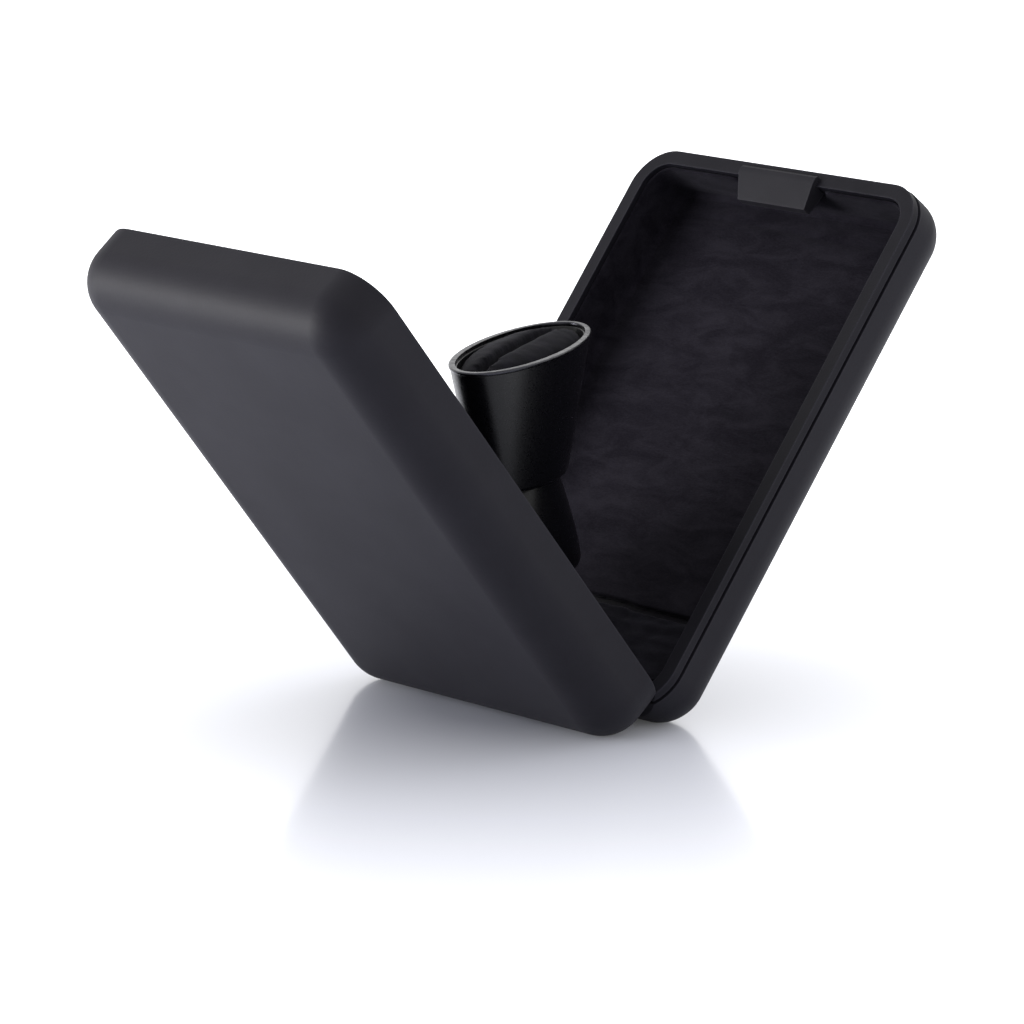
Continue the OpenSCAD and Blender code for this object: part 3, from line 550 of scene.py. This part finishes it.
@dataclass
class TrayHalf:
    """One half of the box: wrapped shell and rim with suede inside.

    Sizes are in mm, in the tray's frame: along the hinge, to the free end, out of the tray.
    """

    side: Side
    depth: float
    edge_r: float                   # rounding between the outer face and the walls
    seed: float = 1.0               # shifts the unevenness of the suede
    width: float = 64.0
    length: float = 95.0
    inset_hinge: float = 2.8        # from the hinge axis to the hinge end
    corner_r: float = 7.2
    face_t: float = 1.7             # thickness of the outer face
    rim_w: float = 2.7
    lining_t: float = 0.5
    pad_t: float = 0.6
    pad_inset: float = 3.24         # from the outside to the card's edge
    ramp_l: float = 16.0            # from the hinge axis to the ramp's end
    bay_x: float = 14.8             # half width of the gear bay
    gap_w: float = 0.9              # opening of the crease between card and ramp
    tab_half: float = 9.2           # half width of the notch under the catch tab
    tab_low: float = 2.75           # depth of that notch
    shell_soft: float = 0.3         # rounding of the wrapped edges
    rim_soft: float = 0.25
    card_cols: int = 97
    card_rows: int = 141
    card_roll: float = 0.3          # rounding of the card's edge
    crown_h: float = 0.22           # rise of the card's middle
    crown_w: float = 12.0           # distance over which it rises
    tuck_h: float = 0.22            # depth of the fold at the free end
    tuck_back: float = 4.2          # distance of the fold from the free end
    roll_low: float = 0.9           # depth of the wall suede's top edge
    # points of its rolled edge: how far out to the wall, and how far below the top
    roll: tuple = ((0.43, 0.3), (0.36, 0.08), (0.2, 0.0), (0.05, 0.1), (0.0, 0.35))
    upright_steps: int = 8
    foot_steps: int = 6
    pucker_h: float = 0.07          # unevenness of the wall suede
    fold_w: float = 3.1             # spacing of the ramp's folds
    heel_l: float = 1.6             # length of the ramp's end that is drawn to the crease

    @property
    def wall_inset(self) -> float:
        """Distance of the wall suede from the outside."""
        return self.rim_w + self.lining_t

    @property
    def floor_z(self) -> float:
        """Height of the bare tray floor, below the parting plane."""
        return self.face_t - self.depth

    @property
    def free_y(self) -> float:
        """Distance of the free end from the hinge axis."""
        return self.length - self.inset_hinge

    def placed(self, points: np.ndarray) -> np.ndarray:
        """Turns points of the tray's frame into the row frame.

        Args:
            points: array of shape (n, 3): along the hinge, to the free end, out of the tray.

        Returns:
            The same points in mm of the row frame.
        """
        x, y, z = points.T
        turned = np.stack([x, y * math.cos(RISE) - z * math.sin(RISE),
                           y * math.sin(RISE) + z * math.cos(RISE)], -1)
        if self.side is Side.FRONT:
            turned *= np.array([-1.0, -1.0, 1.0])
        return turned + HINGE

    def in_tray(self, points: np.ndarray) -> np.ndarray:
        """Turns points of the row frame into the tray's frame."""
        local = points - HINGE
        if self.side is Side.FRONT:
            local = local * np.array([-1.0, -1.0, 1.0])
        x, y, z = local.T
        return np.stack([x, y * math.cos(RISE) + z * math.sin(RISE),
                         z * math.cos(RISE) - y * math.sin(RISE)], -1)

    def crease(self, x: np.ndarray) -> np.ndarray:
        """Distance of the wavy crease between card and ramp from the hinge axis."""
        at = np.stack([x, np.full_like(x, self.seed * 5.0), np.zeros_like(x)], -1)
        past_ramp = 0.2
        return self.ramp_l + past_ramp + ripples(at, self.seed, (0.55, 9.0, 0), (0.25, 3.5, 4))

    def card_start(self, x: np.ndarray) -> np.ndarray:
        """Distance of the card's near edge from the hinge axis."""
        return self.crease(x) + 0.1

    def floor_card(self, cloth):
        """Suede over a foam-backed card: rolled edges, a slight crown, a fold at the free end.

        Args:
            cloth: its finish.

        Returns:
            The new piece.
        """
        cols, rows = self.card_cols, self.card_rows
        half = self.width / 2 - self.pad_inset
        round_r = self.corner_r - self.pad_inset
        end = self.free_y - self.pad_inset
        # the points crowd towards the edges, where the card rolls over
        u = np.linspace(-1, 1, cols)
        u = np.sign(u) * (1 - (1 - np.abs(u)) ** 1.25)
        v = 0.5 - 0.5 * np.cos(np.linspace(0, np.pi, rows))
        v = 0.35 * v + 0.65 * np.linspace(0, 1, rows)
        uu, vv = np.meshgrid(u, v)
        start = self.card_start(uu * half)
        y = start + vv * (end - start)
        into_round = np.clip(y - (end - round_r), 0, round_r)
        reach = half - round_r + np.sqrt(np.maximum(round_r ** 2 - into_round ** 2, 0))
        x = uu * reach
        edge = np.minimum(np.minimum(reach - np.abs(x), end - y), y - start)
        roll = np.clip(edge / self.card_roll, 0, 1)
        glue = 0.02
        z = self.floor_z + glue + (self.pad_t - glue) * np.sqrt(1 - (1 - roll) ** 2)
        # a lip along the crease, a crown with soft waves, and a tucked fold across the free end
        z += 0.3 * ridge(y - start, 2.2) * roll
        flat = np.stack([x, y, np.zeros_like(x)], -1)
        wave = ripples(flat, self.seed, (0.10, 17.0, 1), (0.05, 6.0, 2))
        z += np.clip(edge / self.crown_w, 0, 1) * (self.crown_h + wave)
        tuck_y = end - self.tuck_back - 0.35 * np.sin(x / 7)
        inside = np.clip((half - 3 - np.abs(x)) / 4, 0, 1)
        z -= self.tuck_h * ridge(y - tuck_y, 0.5) * inside
        points = self.placed(np.stack([x, y, z], -1).reshape(-1, 3))
        faces = grid_faces(rows, cols) + underside(rows, cols)
        piece = mesh_piece(f"{self.side.value}_suede_card", points, faces)
        piece.data.materials.append(cloth)
        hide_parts(f"{self.side.value}_floor_pad")
        return piece

    def wall_path(self) -> tuple[np.ndarray, np.ndarray]:
        """Line round the inner walls, from one side of the gear bay to the other.

        Returns:
            Its points, and at each the way out to the wall, both along the hinge and to the
            free end.
        """
        inner = self.wall_inset
        round_r = self.corner_r - inner
        half, foot, top = self.width / 2 - inner, inner - self.inset_hinge, self.free_y - inner
        path, out = [], []

        def straight(a: tuple, b: tuple, way: tuple, step: float = 1.2) -> None:
            count = max(2, int(math.dist(a, b) / step))
            for k in range(count):
                path.append([a[0] + (b[0] - a[0]) * k / count, a[1] + (b[1] - a[1]) * k / count])
                out.append(way)

        def bend(cx: float, cy: float, start: float, steps: int = 12) -> None:
            for k in range(steps):
                turn = math.radians(start + 90 * k / steps)
                path.append([cx + round_r * math.cos(turn), cy + round_r * math.sin(turn)])
                out.append((math.cos(turn), math.sin(turn)))

        straight((self.bay_x, foot), (half - round_r, foot), (0, -1))
        bend(half - round_r, foot + round_r, -90)
        straight((half, foot + round_r), (half, top - round_r), (1, 0))
        bend(half - round_r, top - round_r, 0)
        straight((half - round_r, top), (-half + round_r, top), (0, 1))
        bend(-half + round_r, top - round_r, 90)
        straight((-half, top - round_r), (-half, foot + round_r), (-1, 0))
        bend(-half + round_r, foot + round_r, 180)
        straight((-half + round_r, foot), (-self.bay_x, foot), (0, -1))
        return np.array(path), np.array(out)

    def wall_profile(self) -> list[tuple[float, float]]:
        """Section of the wall suede: how far out to the wall, and how deep, each point lies."""
        profile = [(push, self.roll_low + low) for push, low in self.roll]
        bare = profile[-1][1]
        # the foot follows the hollow of the shell's inner edge and ends under the card
        hollow_r, centre = self.edge_r - self.face_t, self.depth - self.edge_r
        cover = 0.12
        reach = self.edge_r - self.wall_inset + cover
        low_from, low_to = centre + math.sqrt(hollow_r ** 2 - reach ** 2), -self.floor_z - 0.4
        for k in range(1, self.upright_steps + 1):
            profile.append((0.0, bare + (low_from - bare) * k / self.upright_steps))
        for k in range(1, self.foot_steps + 1):
            low = low_from + (low_to - low_from) * k / self.foot_steps
            profile.append((math.sqrt(hollow_r ** 2 - (low - centre) ** 2) - reach, low))
        profile.append((0.3, low_from + 0.1))
        return profile

    def wall_suede(self, cloth):
        """Suede glued round the inner walls, with a rolled top edge and slight puckers.

        Args:
            cloth: its finish.

        Returns:
            The new piece.
        """
        path, out = self.wall_path()
        profile = self.wall_profile()
        at_end = path[:, 1] > self.free_y - self.wall_inset - 0.1
        under_tab = at_end & (np.abs(path[:, 0]) < self.tab_half) & (self.side is Side.REAR)
        loose = range(len(self.roll), len(self.roll) + self.upright_steps - 1)
        rows = []
        for k, (push, low) in enumerate(profile):
            z = np.where(under_tab, min(-low, -self.tab_low - 0.02 * k), -low)
            out_by = np.full(len(path), push)
            if k in loose:
                flat = np.column_stack([path, z])
                out_by += self.pucker_h * ripple(flat, 5.0, self.seed + 7)
            rows.append(np.column_stack([path + out * out_by[:, None], z]))
        points = self.placed(np.concatenate(rows))
        faces = tube_faces(len(profile), len(path))
        piece = mesh_piece(f"{self.side.value}_suede_wall", points, faces)
        piece.data.materials.append(cloth)
        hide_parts(f"{self.side.value}_wall_lining")
        return piece

    def ramp_suede(self, cloth):
        """Suede over the foam wedge by the hinge, bunched in soft folds along the crease.

        Args:
            cloth: its finish.

        Returns:
            The new piece.
        """
        side = self.side.value
        piece = foam_form(f"{side}_hinge_ramp", f"{side}_suede_ramp", 0.34, 4)
        points = coordinates(piece)
        local = self.in_tray(points)
        facing = self.in_tray(normals(piece) + HINGE)
        x, y, _ = local.T
        flat = np.column_stack([x, y, np.zeros(len(x))])
        # the upper side is folded and crumpled, more so towards the crease
        on_top = np.clip((facing[:, 2] - 0.25) / 0.4, 0, 1)
        near = np.clip((y - 6) / 9, 0, 1)
        sway = ripples(flat, self.seed, (1.3, 16.0, 11), (0.5, 5.0, 12))
        folds = np.sin((y + sway) * 2 * np.pi / self.fold_w) * (0.05 + 0.08 * near)
        crumple = ripples(flat, self.seed, (0.2, 2.6, 13), (0.16, 7.0, 14))
        lip = 0.25 * ridge(y - self.crease(x) + self.gap_w, 1.6)
        rim = np.clip((self.width / 2 - self.pad_inset - np.abs(x)) / 2, 0, 1)
        shift = on_top * (folds * rim + crumple * (0.4 + 0.6 * near) + lip - 0.12)
        points = points + normals(piece) * shift[:, None]
        # the wedge ends short of the card, so that a crease stays open between them
        local = self.in_tray(points)
        heel = self.ramp_l - self.heel_l
        squeeze = (self.card_start(local[:, 0]) - self.gap_w - heel) / self.heel_l
        past = np.maximum(local[:, 1] - heel, 0)
        local[:, 1] += past * (np.maximum(squeeze, 0.1) - 1)
        set_coordinates(piece, self.placed(local))
        piece.data.materials.append(cloth)
        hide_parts(f"{side}_hinge_ramp")
        return piece

    def build(self, wraps: dict, suede, ramp_cloth) -> None:
        """Dresses the wrapped solids and makes the suede pieces.

        Args:
            wraps: finishes of the shell and the rim.
            suede: finish of the card and the walls.
            ramp_cloth: finish of the ramp.
        """
        name = self.side.value
        dress(f"{name}_shell", wraps["shell"])
        soften_edges(f"{name}_shell", self.shell_soft)
        dress(f"{name}_rim_frame", wraps["rim"])
        soften_edges(f"{name}_rim_frame", self.rim_soft)
        for piece in (self.floor_card(suede), self.wall_suede(suede), self.ramp_suede(ramp_cloth)):
            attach(piece, BODY_OF_SIDE[self.side].value)
            LOG.info("%s: %d points", piece.name, len(piece.data.vertices))


@dataclass
class Catch:
    """Wrapped tongue on the rear rim, its magnet and the steel it holds to."""

    soft_mm: float = 0.45

    def build(self, wrap, steel) -> None:
        """Dresses the tongue, the magnet and the keeper."""
        dress("catch_tab", wrap)
        soften_edges("catch_tab", self.soft_mm, 30.0, 4)
        dress("catch_magnet", steel)
        dress("front_keeper", steel)


@dataclass
class HingeGear:
    """Rod, ears, washers, bevel sectors and the housing that carries the spindle."""

    steel_nodes: tuple = ("hinge_rod", "rod_clips", "front_hinge_plate", "rear_hinge_plate",
                          "front_plate_screws", "rear_plate_screws", "spindle", "pinion_clip")
    nylon_nodes: tuple = ("front_gear_sector", "rear_gear_sector", "drive_pinion", "thrust_washer")
    bronze_nodes: tuple = ("friction_washers", "spindle_bush")

    def build(self, steel, nylon, bronze, cover) -> None:
        """Dresses the hardware.

        Args:
            steel: finish of the stamped and turned steel.
            nylon: finish of the moulded gears.
            bronze: finish of the bush and the washers.
            cover: finish of the housing.
        """
        for node in self.steel_nodes:
            dress(node, steel)
        for node in self.nylon_nodes:
            dress(node, nylon)
        for node in self.bronze_nodes:
            dress(node, bronze)
        dress("gear_housing", cover)
        soften_edges("gear_housing", 0.2)


@dataclass
class RingHolder:
    """Pedestal, cup, trim and the two cushions, closed on an empty slot."""

    swell_mm: float = 0.45          # how far a cushion may swell
    buried: float = 0.15            # share of the swelling that stays inside the cup
    crown_mm: float = 3.0           # depth below the top where the swelling begins to grow
    voxel_mm: float = 0.5
    pressure: float = 4.0
    stiffness: float = 8.0
    frames: int = 12                # length of the cloth run

    def cushion(self, node: str, seed: float, velvet):
        """Velvet over foam: a crowned form that swells out of the cup.

        Args:
            node: the plain cushion it stands for.
            seed: shifts the unevenness.
            velvet: its finish.

        Returns:
            The new piece.
        """
        name = node.replace("ring_pad", "velvet_cushion")
        piece = foam_form(node, name, self.voxel_mm, 6)
        start = coordinates(piece)
        self.inflate(piece)
        moved = coordinates(piece)
        step = moved - start
        size = np.linalg.norm(step, axis=1, keepdims=True)
        step = step * np.minimum(1.0, self.swell_mm / np.maximum(size, 1e-9))
        top = np.clip((start[:, 2] - (start[:, 2].max() - self.crown_mm)) / 1.5, 0, 1)
        uneven = ripples(start, seed, (0.12, 4.0, 0), (0.06, 1.8, 3))
        points = start + step * (self.buried + (1 - self.buried) * top[:, None])
        set_coordinates(piece, points)
        set_coordinates(piece, points + normals(piece) * (uneven * top)[:, None])
        piece.data.materials.append(velvet)
        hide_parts(node)
        return piece

    def inflate(self, piece) -> None:
        """Blows the cushion up with cloth under pressure, then keeps the result."""
        scene = bpy.context.scene
        modifier = piece.modifiers.new("swell", "CLOTH")
        settings = modifier.settings
        settings.use_pressure = True
        settings.uniform_pressure_force = self.pressure
        settings.effector_weights.gravity = 0.0
        settings.tension_stiffness = self.stiffness
        settings.compression_stiffness = self.stiffness
        modifier.point_cache.frame_start = 1
        modifier.point_cache.frame_end = self.frames
        for number in range(1, self.frames + 1):
            scene.frame_set(number)
        keep_result(piece)
        scene.frame_set(1)

    def build(self, lacquer, line, velvet, steel) -> None:
        """Dresses the cup and makes the cushions.

        Args:
            lacquer: finish of the pedestal and the cup.
            line: finish of the trim round the rim.
            velvet: finish of the cushions.
            steel: finish of the screw.
        """
        for node in ("pedestal", "cup_shell"):
            dress(node, lacquer)
            soften_edges(node, 0.2)
        dress("cup_rim_trim", line)
        soften_edges("cup_rim_trim", 0.08, 30.0, 2)
        dress("cup_screw", steel)
        for number, node in enumerate(("ring_pad_front", "ring_pad_back")):
            piece = self.cushion(node, 3.0 + 5 * number, velvet)
            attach(piece, Body.HOLDER.value)
            LOG.info("%s: %d points", piece.name, len(piece.data.vertices))


# The studio


@dataclass(frozen=True)
class Softbox:
    """Rectangular lamp. Lengths in mm."""

    name: str
    place: tuple[float, float, float]
    size: tuple[float, float]
    watts: float


@dataclass
class Studio:
    """Glossy white table, soft light and the camera. Lengths in mm."""

    azimuth: float = 48.267
    elevation: float = 12.062
    roll: float = -0.382
    distance: float = 902.87
    aside: tuple[float, float] = (-1.576, -15.948)      # shift of the view to the right and up
    focal_px: float = 5800.0
    picture_px: float = 1024.0
    sensor_mm: float = 36.0
    middle: tuple[float, float, float] = (0.0, 0.0, 40.0)      # what the lamps face
    floor_half: float = 6000.0
    floor_z: float = -0.02
    white_from: float = 15.0        # distance from the box where the table's glow starts; nearer it gets none, which leaves painted shade round the box
    white_at: float = 200.0         # distance where the glow makes it all white; between the two the fading glow adds painted shade
    lamps: tuple[Softbox, ...] = (
        Softbox("low_softbox", (-300, -370, 64), (290, 112), 2.15),
        Softbox("overhead_softbox", (0, 0, 1500), (900, 900), 2.2),
    )
    # axis, sign and strength of the light from each side
    sides: tuple = ((0, 1.0, 1.35), (0, -1.0, 2.4), (1, 1.0, 2.2), (2, 1.0, 0.4))

    def camera(self) -> None:
        """Places the camera at the photograph's viewing angle."""
        a, e, r = (math.radians(v) for v in (self.azimuth, self.elevation, self.roll))
        back = Vector((math.sin(a) * math.cos(e), -math.cos(a) * math.cos(e), math.sin(e)))
        right = Vector((0, 0, 1)).cross(back).normalized()
        up = back.cross(right)
        target = Vector(HINGE) + Vector(self.middle) + right * self.aside[0] + up * self.aside[1]
        right, up = right * math.cos(r) + up * math.sin(r), up * math.cos(r) - right * math.sin(r)
        data = bpy.data.cameras.new("photo_camera")
        data.sensor_width = self.sensor_mm
        data.lens = self.focal_px / self.picture_px * data.sensor_width
        data.clip_start, data.clip_end = 0.01, 50.0
        camera = bpy.data.objects.new("photo_camera", data)
        turn = Matrix((right, up, back)).transposed()
        camera.matrix_world = Matrix.Translation((target + back * self.distance) * MM) @ turn.to_4x4()
        bpy.context.scene.collection.objects.link(camera)
        bpy.context.scene.camera = camera

    def seen(self, holder) -> object:
        """Factor that is 1 where the background shows: to the camera, in gloss and through glass."""
        path = add_node(holder, "LightPath").outputs
        mirrored = combined(holder, path["Is Glossy Ray"], path["Is Transmission Ray"], "MAXIMUM")
        return combined(holder, path["Is Camera Ray"], mirrored, "MAXIMUM")

    def floor(self) -> None:
        """Glossy white table that keeps the box's shadow and its blurred reflection, with painted
        shade round the box where its white glow fades out.
        """
        h, z = self.floor_half, self.floor_z
        points = np.array([[-h, -h, z], [h, -h, z], [h, h, z], [-h, h, z]])
        table = mesh_piece("white_table", points, [[0, 1, 2, 3]], smooth=False)
        material, output = new_material("white_acrylic")
        paint = add_node(material, "BsdfPrincipled",
                         {"Base Color": linear("#e2e5f3"), "Roughness": 0.3, "Specular IOR Level": 0.5,
                          "Coat Weight": 1.0, "Coat Roughness": 0.12})
        glow = add_node(material, "Emission", {"Color": linear("#ffffff")})
        # away from the box a glow makes the table pure white where it is seen; the glow fades out
        # towards the box, which adds painted shade round the box to its real shadow
        place = add_node(material, "NewGeometry").outputs["Position"]
        away = add_node(material, "VectorMath", links={0: place}, operation="LENGTH")
        glow_fade_painted_shade = remapped(material, away.outputs["Value"],
                        (self.white_from * MM, self.white_at * MM), (0.0, 1.0))
        lift = combined(material, self.seen(material), glow_fade_painted_shade, "MULTIPLY")
        material.node_tree.links.new(lift, glow.inputs["Strength"])
        both = add_node(material, "AddShader", links={0: paint.outputs[0], 1: glow.outputs[0]})
        material.node_tree.links.new(both.outputs[0], output.inputs["Surface"])
        table.data.materials.append(material)

    def world(self) -> None:
        """Soft light with its own strength from each side, and plain white where it is seen."""
        world = bpy.data.worlds.new("studio_world")
        world.use_nodes = True
        world.node_tree.nodes.clear()
        output = add_node(world, "OutputWorld")
        way = add_node(world, "TexCoord")
        parts = add_node(world, "SeparateXYZ", links={0: way.outputs["Generated"]})
        total = None
        for axis, sign, strength in self.sides:
            facing = add_node(world, "Math", {1: sign}, {0: parts.outputs[axis]},
                              operation="MULTIPLY", use_clamp=True)
            lobe = add_node(world, "Math", {1: 2.0}, {0: facing.outputs[0]}, operation="POWER")
            lit = add_node(world, "Math", {1: strength}, {0: lobe.outputs[0]}, operation="MULTIPLY")
            lit = lit.outputs[0]
            total = lit if total is None else combined(world, total, lit, "ADD")
        soft = add_node(world, "Background", {"Color": linear("#ffffff")}, {"Strength": total})
        white = add_node(world, "Background", {"Color": linear("#ffffff"), "Strength": 1.0})
        mixed = add_node(world, "MixShader",
                         links={0: self.seen(world), 1: soft.outputs[0], 2: white.outputs[0]})
        world.node_tree.links.new(mixed.outputs[0], output.inputs["Surface"])
        bpy.context.scene.world = world

    def light(self, softbox: Softbox) -> None:
        """Adds one lamp, turned to the middle of the box."""
        data = bpy.data.lights.new(softbox.name, "AREA")
        data.shape = "RECTANGLE"
        data.size, data.size_y = softbox.size[0] * MM, softbox.size[1] * MM
        data.energy = softbox.watts
        lamp = bpy.data.objects.new(softbox.name, data)
        lamp.location = Vector(softbox.place) * MM
        way = Vector(self.middle) - Vector(softbox.place)
        lamp.rotation_euler = way.to_track_quat("-Z", "Y").to_euler()
        bpy.context.scene.collection.objects.link(lamp)

    def build(self) -> None:
        """Sets up camera, table, world, lamps and the view."""
        self.camera()
        self.floor()
        self.world()
        for softbox in self.lamps:
            self.light(softbox)
        bpy.context.scene.view_settings.view_transform = "Standard"


def main() -> None:
    """Builds the studio and the box."""
    logging.basicConfig(level=logging.INFO, format="%(name)s: %(message)s")
    shell, rim, tab = SHELL_WRAP.material(), RIM_WRAP.material(), TAB_WRAP.material()
    suede, ramp_cloth, velvet = LINING.material(), RAMP_LINING.material(), CUSHION.material()
    steel, bronze, nylon = ZINC_STEEL.material(), BUSH_BRONZE.material(), GEAR_NYLON.material()
    Studio().build()
    for half in (TrayHalf(Side.FRONT, depth=11.5, edge_r=7.0, seed=2.0),
                 TrayHalf(Side.REAR, depth=11.0, edge_r=6.23, seed=8.0)):
        half.build({"shell": shell, "rim": rim}, suede, ramp_cloth)
    Catch().build(tab, steel)
    HingeGear().build(steel, nylon, bronze, suede)
    RingHolder().build(CUP_LACQUER.material(), CUP_LINE.material(), velvet, steel)


if __name__ == "__main__":
    main()
